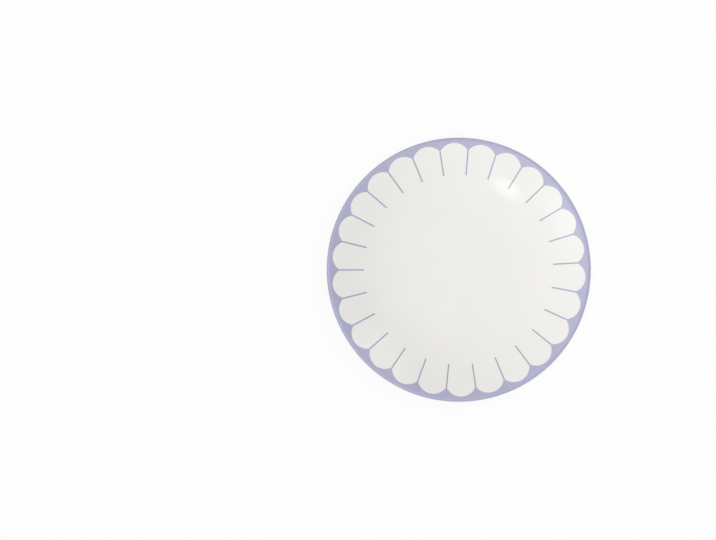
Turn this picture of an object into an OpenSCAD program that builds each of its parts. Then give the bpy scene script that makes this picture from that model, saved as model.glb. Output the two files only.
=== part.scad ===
// Scalloped dessert plate: a round porcelain plate with a flat well, a sloping rim, a foot ring and a
// coloured border of round-tipped petals.
// Millimetres, +Z up, origin at the centre of the plane on which the foot stands.

/* [Plate] */
// Outer diameter over the lip
plate_d = 205; // [180:1:240]
// Height from the table to the top of the lip
plate_h = 20; // [17:0.5:24]
// Thickness of the floor with its glaze
floor_t = 4.2; // [3.4:0.1:5]
// Thickness of the rim and its lip with their glaze
lip_t = 4; // [3:0.1:5]
// Slope of the face of the rim above the horizontal, in degrees
rim_slope = 20; // [17:0.5:25]
// Radius of the hollow bend that joins the floor to the rim
bend_r = 115; // [70:1:125]

/* [Foot] */
// Outer diameter of the bare foot ring where it stands
foot_d = 110; // [96:1:120]
// Width of the bare foot ring where it stands
foot_w = 3.6; // [3:0.1:7]
// Height of the base above the table
foot_h = 2.8; // [2.6:0.1:4]
// Slant of the two flanks of the foot, in degrees
foot_draft = 12; // [0:1:20]
// Height of the bare band at the bottom of the foot
bare_h = 1.2; // [0.9:0.1:1.4]
// Radius of the fillets where the foot leaves the base
foot_fillet_r = 1; // [0.5:0.1:1.2]
// Radius of the two bottom edges of the foot
foot_edge_r = 0.6; // [0.2:0.1:0.8]

/* [Glaze] */
// Thickness of the glaze coat
glaze_t = 0.3; // [0.25:0.05:0.5]

/* [Border] */
// Number of petals
petal_count = 26; // [20:1:30]
// Radius of the round tip of each petal
petal_tip_r = 12.2; // [11:0.1:14]
// Width of colour between the tip of a petal and the edge of the plate
tip_margin = 4; // [3.6:0.1:6]
// Width of the line between two petals
line_w = 1.1; // [0.8:0.1:2]
// Diameter of the circle on which the lines end
line_end_d = 147; // [130:1:155]
// Direction of the first line from +X, in degrees
first_line_dir = 1.7; // [0:0.1:12]
// How far the hand-set spacing drifts from even, in degrees
drift_angle = 1.7; // [0:0.1:2.2]
// Direction from +X on which the drift is largest, in degrees
drift_dir = 22; // [0:1:359]

/* [Hidden] */

// Colours of the fired body, the white glaze and the border
body_colour = "#e6dfd1";
glaze_colour = "#eeede9";
border_colour = "#b5b4d6";

// Steps in the arcs of the section, and sides of the round shapes
bend_steps = 10;
lip_steps = 12;
fillet_steps = 5;
round_sides = 180;
petal_sides = 96;

// Overrun of the cutting shapes past the plate
overrun = 2;

// Levels and radii of the section
plate_r = plate_d / 2;
lip_r = lip_t / 2;
floor_z = foot_h + floor_t;
foot_r = foot_d / 2;
foot_in_r = foot_r - foot_w;

// The lip is a round about the middle of the rim's end
lip_c = [plate_r - lip_r, plate_h - lip_r];
rim_normal = [-sin(rim_slope), cos(rim_slope)];
rim_top = lip_c + lip_r * rim_normal;

// On the face, the bend touches the flat floor and the straight rim
corner_r = rim_top.x - (rim_top.y - floor_z) / tan(rim_slope);
floor_r = corner_r - bend_r * tan(rim_slope / 2);
bend_c = [floor_r, floor_z + bend_r];

// On the back, the rim runs parallel to its face, and the bend thins evenly from the floor to the rim
back_r = bend_r + floor_t;
back_corner_r = corner_r + (lip_t - floor_t * cos(rim_slope)) / sin(rim_slope);
back_floor_r = back_corner_r - back_r * tan(rim_slope / 2);
back_c = [back_floor_r, foot_h + back_r];

// How far a flank leans out for each millimetre of height, and lies out for each millimetre of glaze
draft_rise = tan(foot_draft);
draft_across = 1 / cos(foot_draft);
flank_r = foot_r + glaze_t * draft_across;
flank_in_r = foot_in_r - glaze_t * draft_across;

// The inner fillet of the foot touches the flat base and the inner flank
base_fillet_z = foot_h - foot_fillet_r;
base_fillet_c = [flank_in_r - base_fillet_z * draft_rise - foot_fillet_r * draft_across, base_fillet_z];

// The outer fillet touches the outer flank and the back of the bend, or the flat base where the foot
// stands under the floor
flank_dir = [sin(foot_draft), cos(foot_draft)];
flank_way = [flank_r + foot_fillet_r * cos(foot_draft), -foot_fillet_r * sin(foot_draft)] - back_c;
flank_dot = flank_way * flank_dir;
fillet_reach = back_r + foot_fillet_r;
bend_rise = -flank_dot - sqrt(flank_dot ^ 2 - flank_way * flank_way + fillet_reach ^ 2);
bend_fillet_c = back_c + flank_way + bend_rise * flank_dir;
flat_fillet_c = [flank_r + base_fillet_z * draft_rise + foot_fillet_r * draft_across, base_fillet_z];
fillet_c = flat_fillet_c.x < back_floor_r ? flat_fillet_c : bend_fillet_c;
fillet_slope = asin(max(0, fillet_c.x - back_floor_r) / fillet_reach);

// The petals end on circles whose centres lie on one ring
petal_ring_r = plate_r - tip_margin - petal_tip_r;
line_end_r = line_end_d / 2;
petal_pitch = 360 / petal_count;

// Direction of line number i, with the slow drift of the spacing
function line_dir(i) =
    let (even = i * petal_pitch + first_line_dir)
    even + drift_angle * cos(even - drift_dir);

// Points on an arc of radius r about c, from one direction to another
function arc(c, r, from, to, steps) =
    [for (i = [0 : steps]) let (t = from + (to - from) * i / steps) c + r * [cos(t), sin(t)]];

function reversed(points) = [for (i = [len(points) - 1 : -1 : 0]) points[i]];

// From the axis out along the face to the lip, at a depth below the face
function face_path(depth) =
    concat([[0, floor_z - depth]],
           arc(bend_c, bend_r + depth, -90, rim_slope - 90, bend_steps),
           [lip_c + (lip_r - depth) * rim_normal]);

// Round the lip from the face to the back, at a depth below its surface
function lip_path(depth) =
    arc(lip_c, lip_r - depth, rim_slope + 90, rim_slope - 90, lip_steps);

// From the lip in along the back to the bare band of the foot, at a depth below the surface
function back_path(depth) =
    concat([lip_c - (lip_r - depth) * rim_normal],
           arc(back_c, back_r - depth, rim_slope - 90, fillet_slope - 90, bend_steps),
           arc(fillet_c, foot_fillet_r + depth, fillet_slope + 90, 180 - foot_draft, fillet_steps),
           [[flank_r + bare_h * draft_rise - depth * draft_across, bare_h]]);

// From the axis out along the base to the bare band inside the foot, at a depth below the surface
function base_path(depth) =
    concat([[0, foot_h + depth]],
           arc(base_fillet_c, foot_fillet_r + depth, 90, foot_draft, fillet_steps),
           [[flank_in_r - bare_h * draft_rise + depth * draft_across, bare_h]]);

// The rounded bottom of the bare foot, from its outer flank to its inner flank
function foot_path() =
    let (edge_in = foot_edge_r * (draft_across - draft_rise))
    concat(arc([foot_r - edge_in, foot_edge_r], foot_edge_r, -foot_draft, -90, fillet_steps),
           arc([foot_in_r + edge_in, foot_edge_r], foot_edge_r, -90, foot_draft - 180, fillet_steps));

// A coat of glaze between a path on the surface and the same path one coat deeper
module coat(outer_path, inner_path) {
    rotate_extrude($fn = round_sides)
        polygon(concat(outer_path, reversed(inner_path)));
}

// A flat outline carried up through the whole height of the plate
module through_plate() {
    translate([0, 0, -overrun])
        linear_extrude(plate_h + 2 * overrun)
            children();
}

// The well and the petals seen from above
module petals_outline() {
    circle(petal_ring_r, $fn = round_sides);
    for (i = [0 : petal_count - 1])
        rotate((line_dir(i) + line_dir(i + 1)) / 2)
            translate([petal_ring_r, 0])
                circle(petal_tip_r, $fn = petal_sides);
}

// The lines between the petals seen from above, run past the plate
module lines_outline() {
    for (i = [0 : petal_count - 1])
        rotate(line_dir(i))
            translate([line_end_r, -line_w / 2])
                square([plate_r - line_end_r + overrun, line_w]);
}

// Fired porcelain: floor, bend, rim, lip and foot ring
module porcelain_body() {
    color(body_colour)
        rotate_extrude($fn = round_sides)
            polygon(concat(face_path(glaze_t), lip_path(glaze_t), back_path(glaze_t), foot_path(),
                           reversed(base_path(glaze_t))));
}

// White glaze on the eating side, cut to the petals and slotted for the lines
module face_glaze() {
    color(glaze_colour)
        intersection() {
            coat(face_path(0), face_path(glaze_t));
            through_plate()
                difference() {
                    petals_outline();
                    lines_outline();
                }
        }
}

// Coloured band from the petals out and over the lip
module rim_band() {
    color(border_colour)
        difference() {
            coat(concat(face_path(0), lip_path(0)), concat(face_path(glaze_t), lip_path(glaze_t)));
            through_plate()
                petals_outline();
        }
}

// Coloured lines between the petals
module petal_lines() {
    color(border_colour)
        intersection() {
            coat(face_path(0), face_path(glaze_t));
            through_plate()
                intersection() {
                    petals_outline();
                    lines_outline();
                }
        }
}

// White glaze under the rim, from the lip to the bare band of the foot
module back_glaze() {
    color(glaze_colour)
        coat(back_path(0), back_path(glaze_t));
}

// White glaze on the base inside the foot ring
module base_glaze() {
    color(glaze_colour)
        coat(base_path(0), base_path(glaze_t));
}

porcelain_body();
face_glaze();
rim_band();
petal_lines();
back_glaze();
base_glaze();
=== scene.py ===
"""Looks of the scalloped dessert plate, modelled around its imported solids.

Metres and radians, +Z up, origin at the centre of the plane on which the foot stands.
"""

import logging
import math
from collections.abc import Mapping, Sequence
from dataclasses import dataclass
from enum import Enum
from itertools import pairwise

import bpy
from bpy.types import Material, Node, NodeSocket, Object, World
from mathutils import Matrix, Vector


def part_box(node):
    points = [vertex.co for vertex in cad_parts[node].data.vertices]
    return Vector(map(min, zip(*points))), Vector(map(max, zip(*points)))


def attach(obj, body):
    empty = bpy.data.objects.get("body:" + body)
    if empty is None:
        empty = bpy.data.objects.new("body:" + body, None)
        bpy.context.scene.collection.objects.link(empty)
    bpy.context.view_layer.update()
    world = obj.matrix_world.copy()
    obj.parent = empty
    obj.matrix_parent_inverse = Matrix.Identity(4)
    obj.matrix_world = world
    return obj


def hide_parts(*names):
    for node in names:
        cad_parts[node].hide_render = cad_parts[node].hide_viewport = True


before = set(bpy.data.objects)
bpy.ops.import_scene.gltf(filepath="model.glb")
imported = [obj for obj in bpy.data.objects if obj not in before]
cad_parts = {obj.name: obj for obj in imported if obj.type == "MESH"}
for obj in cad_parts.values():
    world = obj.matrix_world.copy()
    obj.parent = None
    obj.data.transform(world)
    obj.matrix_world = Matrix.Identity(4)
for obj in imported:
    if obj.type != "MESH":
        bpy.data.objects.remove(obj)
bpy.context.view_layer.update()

log = logging.getLogger("dessert_plate")

Colour = tuple[float, float, float]
Path = list[Vector]

BODY = "root"

# Modelling: the seed of a drawn line, the distance at which points are welded, and the sharpest
# fold that is still shaded smooth
SEED_R = 0.0001
WELD = 1e-6
SMOOTH_ANGLE = math.radians(35)

# Finishes: the refractive index of fired ceramic, the range in which nearly all values of a noise
# lie, and the range of a share
CERAMIC_IOR = 1.5
NOISE_RANGE = (0.3, 0.7)
SHARE_RANGE = (0.0, 1.0)


class Slot(Enum):
    """Material slots of the plate."""

    PORCELAIN = "porcelain"
    WHITE_GLAZE = "white_glaze"
    BORDER_GLAZE = "border_glaze"


class Cut(Enum):
    """What a cutting shape does to a piece."""

    KEEP_INSIDE = "INTERSECT"
    TAKE_AWAY = "DIFFERENCE"


class Flank(Enum):
    """A flank of the foot, by the way it faces along the radius."""

    OUTER = 1
    INNER = -1


def toward(angle: float) -> Vector:
    """Return the unit vector of a plane that points along an angle."""
    return Vector((math.cos(angle), math.sin(angle)))


def arc(centre: Vector, radius: float, start: float, end: float, steps: int) -> Path:
    """Lay points on an arc.

    Args:
        centre: Centre of the arc in its plane.
        radius: Radius of the arc.
        start: Direction of the first point from the centre.
        end: Direction of the last point from the centre.
        steps: Number of equal steps.

    Returns:
        The points from start to end.
    """
    return [centre + radius * toward(start + (end - start) * i / steps) for i in range(steps + 1)]


def straight(start: Vector, end: Vector, steps: int) -> Path:
    """Lay points on a straight line.

    Args:
        start: First point.
        end: Last point.
        steps: Number of equal steps.

    Returns:
        The points from start to end.
    """
    return [start.lerp(end, i / steps) for i in range(steps + 1)]


def take_up(piece: Object) -> None:
    """Make a piece the only selected one and the active one.

    Args:
        piece: The piece to work on next.
    """
    bpy.ops.object.select_all(action="DESELECT")
    piece.select_set(True)
    bpy.context.view_layer.objects.active = piece


def draw_line(name: str, points: Sequence[Vector]) -> Object:
    """Draw a row of edges by extruding one vertex from point to point.

    Args:
        name: Name of the new object.
        points: The places to pass, in order.

    Returns:
        The new object, left in edit mode.
    """
    bpy.ops.object.select_all(action="DESELECT")
    bpy.ops.mesh.primitive_circle_add(vertices=3, radius=SEED_R)
    piece = bpy.context.object
    piece.name = piece.data.name = name
    bpy.ops.object.mode_set(mode="EDIT")
    bpy.ops.mesh.merge(type="CENTER")
    bpy.ops.transform.translate(value=points[0])
    for here, there in pairwise(points):
        bpy.ops.mesh.extrude_vertices_move(TRANSFORM_OT_translate={"value": there - here})
    return piece


def spin_section(name: str, section: Sequence[Vector], steps: int) -> Object:
    """Draw a half section of the plate and spin it once round the axis.

    Args:
        name: Name of the new piece.
        section: Points of radius and height that start and end on the axis, or at one point.
        steps: Number of steps round the plate.

    Returns:
        The closed piece, in object mode.
    """
    piece = draw_line(name, [Vector((p.x, 0, p.y)) for p in section])
    bpy.ops.mesh.select_all(action="SELECT")
    bpy.ops.mesh.remove_doubles(threshold=WELD)
    bpy.ops.mesh.spin(steps=steps, angle=math.tau, center=(0, 0, 0), axis=(0, 0, 1))
    bpy.ops.mesh.select_all(action="SELECT")
    bpy.ops.mesh.remove_doubles(threshold=WELD)
    bpy.ops.mesh.normals_make_consistent(inside=False)
    bpy.ops.object.mode_set(mode="OBJECT")
    return piece


def raise_prism(name: str, outline: Sequence[Vector], height: float) -> Object:
    """Draw a closed outline on the table, fill it and extrude it up through the plate.

    Args:
        name: Name of the new cutting shape.
        outline: Corners of the outline, in order.
        height: Height of the prism above the table.

    Returns:
        The prism, in edit mode with all of it selected.
    """
    corners = [Vector((p.x, p.y, 0)) for p in outline]
    prism = draw_line(name, [*corners, corners[0]])
    bpy.ops.mesh.select_all(action="SELECT")
    bpy.ops.mesh.remove_doubles(threshold=WELD)
    bpy.ops.mesh.edge_face_add()
    bpy.ops.mesh.extrude_region_move(TRANSFORM_OT_translate={"value": (0, 0, height)})
    bpy.ops.mesh.select_all(action="SELECT")
    bpy.ops.mesh.normals_make_consistent(inside=False)
    return prism


def copy_piece(piece: Object, name: str) -> Object:
    """Copy a piece with a mesh of its own.

    Args:
        piece: The piece to copy.
        name: Name of the copy.

    Returns:
        The copy.
    """
    take_up(piece)
    bpy.ops.object.duplicate()
    copy = bpy.context.object
    copy.name = copy.data.name = name
    return copy


def cut_with(piece: Object, tool: Object, cut: Cut) -> None:
    """Cut a piece with another shape.

    Args:
        piece: The piece that is cut.
        tool: The cutting shape, which stays as it is.
        cut: What is left of the piece.
    """
    take_up(piece)
    bpy.ops.object.modifier_add(type="BOOLEAN")
    modifier = piece.modifiers[-1]
    modifier.object = tool
    modifier.operation = cut.value
    modifier.solver = "MANIFOLD"
    bpy.ops.object.modifier_apply(modifier=modifier.name)


def discard(tool: Object) -> None:
    """Delete a cutting shape."""
    take_up(tool)
    bpy.ops.object.delete()


@dataclass(frozen=True)
class PlateSection:
    """Half section of the plate, as points of radius and height at a depth below the surface."""

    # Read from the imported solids
    plate_r: float
    plate_h: float
    floor_z: float
    foot_h: float
    bare_h: float
    glaze_t: float

    lip_t: float = 0.004
    rim_slope: float = math.radians(20)
    bend_r: float = 0.115
    foot_r: float = 0.055
    foot_w: float = 0.0036
    foot_draft: float = math.radians(12)
    foot_fillet_r: float = 0.001
    foot_edge_r: float = 0.0006

    # The rolled end of the glaze above the bare foot: its thickness over that of the coat, and the
    # turn from the flank at which it starts to swell
    bead_swell: float = 1.4
    bead_turn: float = math.radians(40)

    # Rings on the flat floor as shares of its radius, and steps along the other parts of the section
    floor_rings: tuple[float, ...] = (0.12, 0.4, 0.7)
    bend_steps: int = 28
    rim_steps: int = 8
    lip_steps: int = 18
    fillet_steps: int = 8

    @classmethod
    def from_frame(cls) -> "PlateSection":
        """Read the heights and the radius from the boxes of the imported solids.

        Returns:
            The section with these sizes.
        """
        body, face, band = (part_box(node) for node in ("porcelain_body", "face_glaze", "rim_band"))
        back, base = (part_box(node) for node in ("back_glaze", "base_glaze"))
        glaze_t = band[1].z - body[1].z
        return cls(
            plate_r=max(band[1].x, band[1].y, -band[0].x, -band[0].y),
            plate_h=band[1].z,
            floor_z=face[0].z + glaze_t,
            foot_h=base[1].z - glaze_t,
            bare_h=back[0].z,
            glaze_t=glaze_t,
        )

    @property
    def floor_t(self) -> float:
        """Thickness of the floor with its glaze."""
        return self.floor_z - self.foot_h

    @property
    def lip_r(self) -> float:
        """Radius of the round of the lip."""
        return self.lip_t / 2

    @property
    def lip_c(self) -> Vector:
        """Centre of the round of the lip."""
        return Vector((self.plate_r - self.lip_r, self.plate_h - self.lip_r))

    @property
    def rim_normal(self) -> Vector:
        """Direction out of the face of the rim."""
        return toward(self.rim_slope + math.pi / 2)

    @property
    def corner_r(self) -> float:
        """Radius at which the lines of the floor and the rim would meet."""
        rim_top = self.lip_c + self.lip_r * self.rim_normal
        return rim_top.x - (rim_top.y - self.floor_z) / math.tan(self.rim_slope)

    @property
    def floor_r(self) -> float:
        """Radius at which the flat floor turns into the bend."""
        return self.corner_r - self.bend_r * math.tan(self.rim_slope / 2)

    @property
    def bend_c(self) -> Vector:
        """Centre of the bend."""
        return Vector((self.floor_r, self.floor_z + self.bend_r))

    @property
    def back_r(self) -> float:
        """Radius of the back of the bend."""
        return self.bend_r + self.floor_t

    @property
    def back_c(self) -> Vector:
        """Centre of the back of the bend, which touches the base and the back of the rim."""
        inset = self.floor_t * math.cos(self.rim_slope) - self.lip_t
        corner_r = self.corner_r - inset / math.sin(self.rim_slope)
        start_r = corner_r - self.back_r * math.tan(self.rim_slope / 2)
        return Vector((start_r, self.foot_h + self.back_r))

    @property
    def foot_in_r(self) -> float:
        """Radius of the bare foot on its inner side, where it stands."""
        return self.foot_r - self.foot_w

    @property
    def outer_fillet(self) -> tuple[Vector, float]:
        """Centre of the fillet between the foot and the back, and the slope of the back there."""
        lean = toward(math.pi / 2 - self.foot_draft)
        aside = toward(-self.foot_draft)
        start = Vector((self.foot_r, 0)) + (self.glaze_t + self.foot_fillet_r) * aside
        way = start - self.back_c
        reach = self.back_r + self.foot_fillet_r
        along = way.dot(lean)
        rise = -along - math.sqrt(along**2 - way.length_squared + reach**2)
        centre = start + rise * lean
        return centre, math.asin((centre.x - self.back_c.x) / reach)

    @property
    def inner_fillet(self) -> Vector:
        """Centre of the fillet between the foot and the base."""
        centre_z = self.foot_h - self.foot_fillet_r
        across = (self.glaze_t + self.foot_fillet_r) / math.cos(self.foot_draft)
        return Vector((self.foot_in_r - centre_z * math.tan(self.foot_draft) - across, centre_z))

    def floor_path(self, depth: float) -> Path:
        """Lay points on the flat floor, from the axis to the bend."""
        shares = (0, *self.floor_rings)
        return [Vector((share * self.floor_r, self.floor_z - depth)) for share in shares]

    def bend_path(self, depth: float) -> Path:
        """Lay points on the face of the bend, from the floor to the rim."""
        start = -math.pi / 2
        return arc(self.bend_c, self.bend_r + depth, start, start + self.rim_slope, self.bend_steps)

    def rim_path(self, depth: float) -> Path:
        """Lay points on the face of the rim, from the bend to the lip."""
        end = self.lip_c + (self.lip_r - depth) * self.rim_normal
        return straight(self.bend_path(depth)[-1], end, self.rim_steps)

    def face_path(self, depth: float) -> Path:
        """Lay points on the whole face, from the axis to the lip."""
        return [*self.floor_path(depth), *self.bend_path(depth), *self.rim_path(depth)[1:]]

    def lip_path(self, depth: float) -> Path:
        """Lay points round the lip, from the face to the back."""
        start = self.rim_slope + math.pi / 2
        return arc(self.lip_c, self.lip_r - depth, start, start - math.pi, self.lip_steps)

    def back_path(self, depth: float) -> Path:
        """Lay points under the rim.

        Args:
            depth: Depth below the surface.

        Returns:
            The points from the lip to the end of the fillet on the foot.
        """
        fillet_c, slope = self.outer_fillet
        down = math.pi / 2
        bend = arc(self.back_c, self.back_r - depth, self.rim_slope - down, slope - down,
                   self.bend_steps)
        lip_end = self.lip_c - (self.lip_r - depth) * self.rim_normal
        fillet = arc(fillet_c, self.foot_fillet_r + depth, slope + down, math.pi - self.foot_draft,
                     self.fillet_steps)
        return [*straight(lip_end, bend[0], self.rim_steps), *bend[1:], *fillet[1:]]

    def base_path(self, depth: float) -> Path:
        """Lay points under the base.

        Args:
            depth: Depth below the surface.

        Returns:
            The points from the axis to the end of the fillet on the foot.
        """
        fillet = arc(self.inner_fillet, self.foot_fillet_r + depth, math.pi / 2, self.foot_draft,
                     self.fillet_steps)
        shares = (0, *self.floor_rings)
        return [*(Vector((share * fillet[0].x, fillet[0].y)) for share in shares), *fillet]

    def foot_path(self) -> Path:
        """Lay points on the bare foot.

        Returns:
            The points from its outer flank to its inner one.
        """
        radius = self.foot_edge_r
        inset = radius * (1 / math.cos(self.foot_draft) - math.tan(self.foot_draft))
        down = -math.pi / 2
        outer = Vector((self.foot_r - inset, radius))
        inner = Vector((self.foot_in_r + inset, radius))
        return [*arc(outer, radius, -self.foot_draft, down, self.fillet_steps),
                *arc(inner, radius, down, self.foot_draft - math.pi, self.fillet_steps)]

    def bead_path(self, flank: Flank) -> Path:
        """Lay points on the rolled end of the glaze on a flank of the foot.

        Args:
            flank: The flank on which the glaze ends.

        Returns:
            The points from the coat to the place where the bead meets the bare foot.
        """
        side = flank.value
        start_r = self.foot_r if flank is Flank.OUTER else self.foot_in_r
        lean = math.tan(self.foot_draft)
        radius = self.bead_swell * self.glaze_t
        centre_z = self.bare_h + radius
        centre = Vector((start_r + side * centre_z * lean, centre_z))
        out = -self.foot_draft
        bead = arc(Vector((0, 0)), radius, out + self.bead_turn, out - math.pi / 2, self.fillet_steps)
        return [centre + Vector((side * p.x, p.y)) for p in bead]


@dataclass(frozen=True)
class PetalBorder:
    """The border of petals seen from above."""

    petal_count: int = 26
    petal_tip_r: float = 0.0122
    tip_margin: float = 0.004
    line_w: float = 0.0011
    line_end_r: float = 0.0735
    first_line: float = math.radians(1.7)
    drift: float = math.radians(1.7)
    drift_toward: float = math.radians(22)

    # Run of the cutting shapes past the plate, and steps along each tip and each line's round end
    overrun: float = 0.002
    tip_steps: int = 36
    end_steps: int = 8

    def line_direction(self, number: int) -> float:
        """Return the direction of a line, with the slow drift of the spacing."""
        even = number * math.tau / self.petal_count + self.first_line
        return even + self.drift * math.cos(even - self.drift_toward)

    def petal_direction(self, number: int) -> float:
        """Return the middle direction of the petal that follows a line."""
        return (self.line_direction(number) + self.line_direction(number + 1)) / 2

    def outline(self, plate_r: float) -> Path:
        """Lay points along the tips of all petals, from cusp to cusp.

        Args:
            plate_r: Radius of the plate.

        Returns:
            The closed outline, without its first point again at the end.
        """
        ring_r = plate_r - self.tip_margin - self.petal_tip_r
        points: Path = []
        for number in range(self.petal_count):
            middle = self.petal_direction(number)
            centre = ring_r * toward(middle)
            ends = []
            for neighbour in (number - 1, number + 1):
                half = (self.petal_direction(neighbour) - middle) / 2
                reach = math.sqrt(self.petal_tip_r**2 - (ring_r * math.sin(half)) ** 2)
                cusp = (ring_r * math.cos(half) + reach) * toward(middle + half) - centre
                turn = math.atan2(cusp.y, cusp.x) - middle
                ends.append(middle + math.remainder(turn, math.tau))
            points += arc(centre, self.petal_tip_r, *ends, self.tip_steps)[:-1]
        return points

    def line_outline(self, plate_r: float) -> Path:
        """Lay points round one line along +X, with a round inner end and run past the plate.

        Args:
            plate_r: Radius of the plate.

        Returns:
            The outline of the line.
        """
        half_w = self.line_w / 2
        end_c = Vector((self.line_end_r + half_w, 0))
        round_end = arc(end_c, half_w, math.pi / 2, math.pi * 3 / 2, self.end_steps)
        far = plate_r + self.overrun
        return [*round_end, Vector((far, -half_w)), Vector((far, half_w))]

    def petals_cutter(self, section: PlateSection) -> Object:
        """Raise the outline of the petals through the plate.

        Args:
            section: The section of the plate.

        Returns:
            The cutting shape.
        """
        cutter = raise_prism("petals_cutter", self.outline(section.plate_r),
                             section.plate_h + self.overrun)
        bpy.ops.object.mode_set(mode="OBJECT")
        return cutter

    def lines_cutter(self, section: PlateSection) -> Object:
        """Raise one line through the plate and copy it round the border.

        Args:
            section: The section of the plate.

        Returns:
            The cutting shape for all lines.
        """
        cutter = raise_prism("lines_cutter", self.line_outline(section.plate_r),
                             section.plate_h + self.overrun)
        turned = 0.0
        for number in range(self.petal_count):
            if number:
                bpy.ops.mesh.duplicate()
            direction = self.line_direction(number)
            # Without a window the operator turns clockwise
            bpy.ops.transform.rotate(value=turned - direction, orient_axis="Z",
                                     center_override=(0, 0, 0))
            turned = direction
        bpy.ops.object.mode_set(mode="OBJECT")
        return cutter


class NodeBoard:
    """The nodes of one material or world."""

    def __init__(self, owner: Material | World) -> None:
        """Start from an empty tree.

        Args:
            owner: The material or world to give nodes to.
        """
        owner.use_nodes = True
        self.tree = owner.node_tree
        self.tree.nodes.clear()

    def add(self, kind: str, inputs: Mapping[str | int, object] | None = None,
            **settings: object) -> Node:
        """Add a node.

        Args:
            kind: Blender's name of the node type.
            inputs: A socket to link, or a value to set, for each input by name or number.
            settings: Properties of the node.

        Returns:
            The new node.
        """
        node = self.tree.nodes.new(kind)
        for name, value in settings.items():
            setattr(node, name, value)
        for key, value in (inputs or {}).items():
            if isinstance(value, NodeSocket):
                self.tree.links.new(value, node.inputs[key])
            else:
                node.inputs[key].default_value = value
        return node

    def noise(self, at: NodeSocket, scale: float, detail: float) -> NodeSocket:
        """Add a cloudy pattern and return its value."""
        inputs = {"Vector": at, "Scale": scale, "Detail": detail}
        return self.add("ShaderNodeTexNoise", inputs).outputs[0]

    def spread(self, value: NodeSocket, source: tuple[float, float],
               target: tuple[float, float]) -> NodeSocket:
        """Map a range of values to another range and return the result."""
        inputs = {0: value, 1: source[0], 2: source[1], 3: target[0], 4: target[1]}
        return self.add("ShaderNodeMapRange", inputs).outputs[0]

    def mix(self, share: NodeSocket, first: object, second: object) -> NodeSocket:
        """Mix two colours and return the result."""
        inputs = {0: share, 6: first, 7: second}
        return self.add("ShaderNodeMix", inputs, data_type="RGBA").outputs[2]

    def blend(self, share: NodeSocket, first: object, second: object) -> NodeSocket:
        """Mix two numbers and return the result."""
        return self.add("ShaderNodeMix", {0: share, 2: first, 3: second}, data_type="FLOAT").outputs[0]

    def compute(self, operation: str, first: object, second: object = 0.0) -> NodeSocket:
        """Calculate with two numbers and return the result."""
        return self.add("ShaderNodeMath", {0: first, 1: second}, operation=operation).outputs[0]

    def bump(self, height: NodeSocket, distance: float, normal: NodeSocket | None = None) -> NodeSocket:
        """Raise a pattern from the surface.

        Args:
            height: The pattern.
            distance: Height of the pattern in metres.
            normal: The normal to start from, or none for that of the mesh.

        Returns:
            The new normal.
        """
        inputs: dict[str | int, object] = {"Height": height, "Distance": distance}
        if normal is not None:
            inputs["Normal"] = normal
        return self.add("ShaderNodeBump", inputs).outputs[0]

    def ceramic(self, colour: NodeSocket, rough: NodeSocket, normal: NodeSocket) -> None:
        """Make the surface of the material fired ceramic.

        Args:
            colour: Its colour.
            rough: Its roughness.
            normal: Its normal.
        """
        inputs = {"Base Color": colour, "Roughness": rough, "Normal": normal, "IOR": CERAMIC_IOR}
        shader = self.add("ShaderNodeBsdfPrincipled", inputs)
        self.add("ShaderNodeOutputMaterial", {"Surface": shader.outputs[0]})

    def seen(self) -> NodeSocket:
        """Tell what is seen from what only gives light.

        Returns:
            1 for what is seen directly, mirrored or through glass, and 0 for light.
        """
        path = self.add("ShaderNodeLightPath").outputs
        rays = self.compute("MAXIMUM", path["Is Camera Ray"], path["Is Glossy Ray"])
        return self.compute("MAXIMUM", rays, path["Is Transmission Ray"])


def rgba(colour: Colour) -> tuple[float, float, float, float]:
    """Return a colour with full opacity."""
    return (*colour, 1.0)


@dataclass(frozen=True)
class GlazeFinish:
    """A fired gloss glaze: two tones of its colour and the small waves of its surface."""

    name: str
    slot: Slot
    thin_colour: Colour
    thick_colour: Colour
    roughness: tuple[float, float] = (0.095, 0.125)

    # Patterns for each metre, their detail, and heights in metres: slow clouds in the tone and the
    # gloss, swells from the firing and the fine skin of the glaze
    cloud_scale: float = 60.0
    tone_detail: float = 4.0
    gloss_detail: float = 2.0
    swell_scale: float = 35.0
    swell_detail: float = 1.0
    swell_height: float = 0.00003
    skin_scale: float = 700.0
    skin_detail: float = 2.0
    skin_height: float = 0.000004

    def material(self) -> Material:
        """Make the material.

        Returns:
            The new material.
        """
        material = bpy.data.materials.new(self.name)
        board = NodeBoard(material)
        at = board.add("ShaderNodeTexCoord").outputs["Object"]
        tone = board.noise(at, self.cloud_scale, self.tone_detail)
        thick = board.spread(tone, NOISE_RANGE, SHARE_RANGE)
        colour = board.mix(thick, rgba(self.thin_colour), rgba(self.thick_colour))
        swell = board.noise(at, self.swell_scale, self.swell_detail)
        skin = board.noise(at, self.skin_scale, self.skin_detail)
        normal = board.bump(skin, self.skin_height, board.bump(swell, self.swell_height))
        gloss = board.noise(at, self.cloud_scale, self.gloss_detail)
        rough = board.spread(gloss, NOISE_RANGE, self.roughness)
        board.ceramic(colour, rough, normal)
        return material


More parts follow.
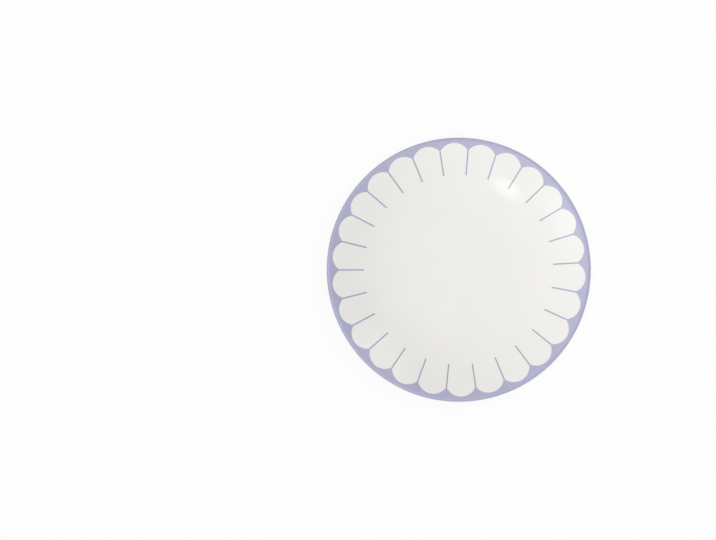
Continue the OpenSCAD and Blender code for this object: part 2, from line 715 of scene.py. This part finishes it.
@dataclass(frozen=True)
class BareFinish:
    """Fired porcelain without glaze, ground flat where it stands."""

    name: str
    slot: Slot
    clean_colour: Colour
    worn_colour: Colour
    roughness: tuple[float, float] = (0.75, 0.92)

    # Patterns for each metre, their detail, and heights in metres: grit all over, and scuffs broken up
    # by the rings of the grinding, with the range of the noise that shows as a scuff
    grit_scale: float = 2600.0
    grit_detail: float = 3.0
    grit_height: float = 0.00003
    scuff_scale: float = 110.0
    scuff_detail: float = 5.0
    scuff_range: tuple[float, float] = (0.48, 0.72)
    ring_scale: float = 2200.0
    ring_detail: float = 2.0

    def material(self) -> Material:
        """Make the material.

        Returns:
            The new material.
        """
        material = bpy.data.materials.new(self.name)
        board = NodeBoard(material)
        at = board.add("ShaderNodeTexCoord").outputs["Object"]
        grit = board.noise(at, self.grit_scale, self.grit_detail)
        marks = board.noise(at, self.scuff_scale, self.scuff_detail)
        scuff = board.spread(marks, self.scuff_range, SHARE_RANGE)
        x, y, _ = board.add("ShaderNodeSeparateXYZ", {0: at}).outputs
        squares = (board.compute("MULTIPLY", part, part) for part in (x, y))
        across = board.compute("SQRT", board.compute("ADD", *squares))
        ring_inputs = {"W": across, "Scale": self.ring_scale, "Detail": self.ring_detail}
        rings = board.add("ShaderNodeTexNoise", ring_inputs, noise_dimensions="1D").outputs[0]
        worn = board.compute("MULTIPLY", scuff, rings)
        colour = board.mix(worn, rgba(self.clean_colour), rgba(self.worn_colour))
        normal = board.bump(grit, self.grit_height)
        rough = board.spread(grit, NOISE_RANGE, self.roughness)
        board.ceramic(colour, rough, normal)
        return material


BARE_PORCELAIN = BareFinish("bare_porcelain", Slot.PORCELAIN,
                            (0.74, 0.7, 0.62), (0.36, 0.34, 0.31))
WHITE_GLAZE = GlazeFinish("white_glaze", Slot.WHITE_GLAZE,
                          (0.846, 0.837, 0.804), (0.834, 0.825, 0.793))
LAVENDER_GLAZE = GlazeFinish("lavender_glaze", Slot.BORDER_GLAZE,
                             (0.434, 0.431, 0.606), (0.419, 0.416, 0.591))
LINE_GLAZE = GlazeFinish("line_glaze", Slot.BORDER_GLAZE,
                         (0.408, 0.382, 0.56), (0.388, 0.362, 0.54))


def hand_over(piece: Object, node: str, finish: GlazeFinish | BareFinish) -> Object:
    """Smooth and dress a finished piece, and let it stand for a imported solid.

    Args:
        piece: The finished piece.
        node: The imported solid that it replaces.
        finish: The finish of its surface.

    Returns:
        The piece.
    """
    take_up(piece)
    bpy.ops.object.shade_smooth_by_angle(angle=SMOOTH_ANGLE)
    piece.data.materials.clear()
    piece.data.materials.append(finish.material())
    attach(piece, BODY)
    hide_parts(node)
    return piece


@dataclass(frozen=True)
class FiredBody:
    """The porcelain of the plate with its bare foot ring."""

    section: PlateSection
    finish: BareFinish = BARE_PORCELAIN
    spin_steps: int = 260

    def build(self) -> list[Object]:
        """Spin the whole section.

        Returns:
            The finished body.
        """
        plate, depth = self.section, self.section.glaze_t
        path = [*plate.face_path(depth), *plate.lip_path(depth)[1:], *plate.back_path(depth)[1:],
                *plate.foot_path(), *reversed(plate.base_path(depth))]
        body = spin_section("fired_body", path, self.spin_steps)
        return [hand_over(body, "porcelain_body", self.finish)]


@dataclass(frozen=True)
class DecoratedFace:
    """The glaze of the eating side: white well and petals, coloured lines and the band over the lip."""

    section: PlateSection
    border: PetalBorder
    petal_finish: GlazeFinish = WHITE_GLAZE
    line_finish: GlazeFinish = LINE_GLAZE
    band_finish: GlazeFinish = LAVENDER_GLAZE
    spin_steps: int = 416

    def build(self) -> list[Object]:
        """Spin the coats and cut them along the border.

        Returns:
            The white face, the lines and the band.
        """
        plate, deep = self.section, self.section.glaze_t
        petals = self.border.petals_cutter(plate)
        lines = self.border.lines_cutter(plate)

        face = spin_section("petal_face", [*plate.face_path(0), *reversed(plate.face_path(deep))],
                            self.spin_steps)
        cut_with(face, petals, Cut.KEEP_INSIDE)
        strokes = copy_piece(face, "petal_strokes")
        cut_with(face, lines, Cut.TAKE_AWAY)
        cut_with(strokes, lines, Cut.KEEP_INSIDE)

        outer = [*plate.rim_path(0), *plate.lip_path(0)[1:]]
        inner = [*plate.rim_path(deep), *plate.lip_path(deep)[1:]]
        band = spin_section("colour_band", [*outer, *reversed(inner), outer[0]], self.spin_steps)
        cut_with(band, petals, Cut.TAKE_AWAY)

        discard(petals)
        discard(lines)
        return [hand_over(face, "face_glaze", self.petal_finish),
                hand_over(strokes, "petal_lines", self.line_finish),
                hand_over(band, "rim_band", self.band_finish)]


@dataclass(frozen=True)
class Underside:
    """The white glaze under the rim and on the base, each ending in a bead above the bare foot."""

    section: PlateSection
    finish: GlazeFinish = WHITE_GLAZE
    spin_steps: int = 312

    def build(self) -> list[Object]:
        """Spin the two coats.

        Returns:
            The coat under the rim and the coat of the base.
        """
        plate, deep = self.section, self.section.glaze_t
        back_outer = [*plate.back_path(0), *plate.bead_path(Flank.OUTER)]
        back_path = [*back_outer, *reversed(plate.back_path(deep)), back_outer[0]]
        base_outer = [*plate.base_path(0), *plate.bead_path(Flank.INNER)]
        base_path = [*base_outer, *reversed(plate.base_path(deep))]
        back = spin_section("rim_underside", back_path, self.spin_steps)
        base = spin_section("base_underside", base_path, self.spin_steps)
        return [hand_over(back, "back_glaze", self.finish), hand_over(base, "base_glaze", self.finish)]


@dataclass(frozen=True)
class SoftLamp:
    """An oval lamp that faces the plate, with its angular size as seen from there.

    It may light the plate, show in the gloss of the plate, or both.
    """

    name: str
    azimuth: float
    polar: float
    width: float
    height: float
    radiance: float
    distance: float = 4.0
    lights: bool = True
    mirrored: bool = True

    def build(self) -> None:
        """Hang the lamp."""
        way = Vector((math.sin(self.polar) * math.cos(self.azimuth),
                      math.sin(self.polar) * math.sin(self.azimuth), math.cos(self.polar)))
        bpy.ops.object.light_add(type="AREA", location=self.distance * way,
                                 rotation=way.to_track_quat("Z", "Y").to_euler())
        lamp = bpy.context.object
        lamp.name = self.name
        lamp.visible_camera = False
        lamp.visible_diffuse = self.lights
        lamp.visible_glossy = self.mirrored
        lamp.data.shape = "ELLIPSE"
        lamp.data.size = 2 * self.distance * math.tan(self.width / 2)
        lamp.data.size_y = 2 * self.distance * math.tan(self.height / 2)
        area = math.pi / 4 * lamp.data.size * lamp.data.size_y
        lamp.data.energy = self.radiance * math.pi * area


@dataclass(frozen=True)
class Studio:
    """White floor, soft light and a camera straight above."""

    # Even light of the room
    ambient: float = 0.566

    # The room as the glaze mirrors it: a ceiling that is black up to one place and grows bright toward
    # one side, and walls that are white on that side, darken away from it and turn into the ceiling
    # between two heights
    bright_side: float = math.radians(210)
    black_end: float = -0.7
    bright_end: float = 3.4
    dark_wall: float = 0.2
    wall_top: float = 0.5
    ceiling_edge: float = 0.72

    # The floor, and the share of plain white in how it looks
    floor_size: float = 8.0
    floor_colour: Colour = (0.97, 0.97, 0.97)
    floor_white: float = 0.88

    # A long lens far above the plate, with the plate to the right of the middle
    lens: float = 388.8
    camera_at: Vector = Vector((-0.07821, -0.00022, 6.0184)).freeze()
    camera_reach: float = 50.0

    # A window as the glaze mirrors it, its light along the table, the glint on the bend, a white card
    # opposite, and two soft lights from above
    lamps: tuple[SoftLamp, ...] = (
        SoftLamp("window", azimuth=math.radians(206.6), polar=math.radians(44), width=math.radians(47.3),
                 height=math.radians(15), radiance=1.51, lights=False),
        SoftLamp("side", azimuth=math.radians(206.6), polar=math.radians(78), width=math.radians(40),
                 height=math.radians(16), radiance=1.85, mirrored=False),
        SoftLamp("glint", azimuth=math.radians(240.3), polar=math.radians(27.4), width=math.radians(9.3),
                 height=math.radians(12.1), radiance=2.65),
        SoftLamp("card", azimuth=math.radians(46.2), polar=math.radians(45), width=math.radians(24.8),
                 height=math.radians(24.8), radiance=0.95),
        SoftLamp("fill", azimuth=math.radians(27), polar=math.radians(20), width=math.radians(30),
                 height=math.radians(30), radiance=2.2, distance=0.45, mirrored=False),
        SoftLamp("top", azimuth=0.0, polar=0.0, width=math.radians(40), height=math.radians(40),
                 radiance=1.7, mirrored=False),
    )

    def build(self) -> None:
        """Set up the floor, the light and the camera."""
        bpy.context.scene.view_settings.view_transform = "Standard"
        self.lay_floor()
        self.light_room()
        for lamp in self.lamps:
            lamp.build()
        bpy.ops.object.camera_add(location=self.camera_at, rotation=(0, 0, 0))
        camera = bpy.context.object
        camera.data.lens = self.lens
        camera.data.clip_end = self.camera_reach
        bpy.context.scene.camera = camera

    def lay_floor(self) -> None:
        """Lay a floor that looks white and keeps a soft shadow."""
        bpy.ops.mesh.primitive_plane_add(size=self.floor_size)
        floor = bpy.context.object
        floor.name = "floor"
        material = bpy.data.materials.new("floor_white")
        board = NodeBoard(material)
        share = board.compute("MULTIPLY", board.seen(), self.floor_white)
        matte = board.add("ShaderNodeBsdfDiffuse", {"Color": rgba(self.floor_colour)}).outputs[0]
        white = board.add("ShaderNodeEmission", {"Strength": 1.0}).outputs[0]
        surface = board.add("ShaderNodeMixShader", {0: share, 1: matte, 2: white}).outputs[0]
        board.add("ShaderNodeOutputMaterial", {"Surface": surface})
        floor.data.materials.append(material)

    def light_room(self) -> None:
        """Light the room evenly, show it white, and mirror it with its walls and its ceiling."""
        world = bpy.data.worlds.new("room")
        bpy.context.scene.world = world
        board = NodeBoard(world)
        path = board.add("ShaderNodeLightPath").outputs
        way = board.add("ShaderNodeTexCoord").outputs["Generated"]
        side = board.add("ShaderNodeVectorMath", {0: way, 1: toward(self.bright_side).to_3d()},
                         operation="DOT_PRODUCT").outputs["Value"]
        ceiling = board.spread(side, (self.black_end, 1.0), (0.0, self.bright_end))
        height = board.add("ShaderNodeSeparateXYZ", {0: way}).outputs[2]
        above = board.spread(height, (self.wall_top, self.ceiling_edge), SHARE_RANGE)
        wall = board.spread(side, (-1.0, 0.0), (self.dark_wall, 1.0))
        mirrored = board.blend(above, wall, ceiling)
        straight_on = board.compute("MAXIMUM", path["Is Camera Ray"], path["Is Transmission Ray"])
        strength = board.blend(path["Is Glossy Ray"], self.ambient, mirrored)
        strength = board.blend(straight_on, strength, 1.0)
        light = board.add("ShaderNodeBackground", {"Color": rgba((1.0, 1.0, 1.0)), "Strength": strength})
        board.add("ShaderNodeOutputWorld", {"Surface": light.outputs[0]})


def main() -> None:
    """Build the plate and its studio, and log the faces of each piece."""
    logging.basicConfig(level=logging.INFO, format="%(name)s: %(message)s")
    section = PlateSection.from_frame()
    for part in (FiredBody(section), DecoratedFace(section, PetalBorder()), Underside(section)):
        for piece in part.build():
            log.info("%s: %s, %d faces", type(part).__name__, piece.name, len(piece.data.polygons))
    Studio().build()


if __name__ == "__main__":
    main()
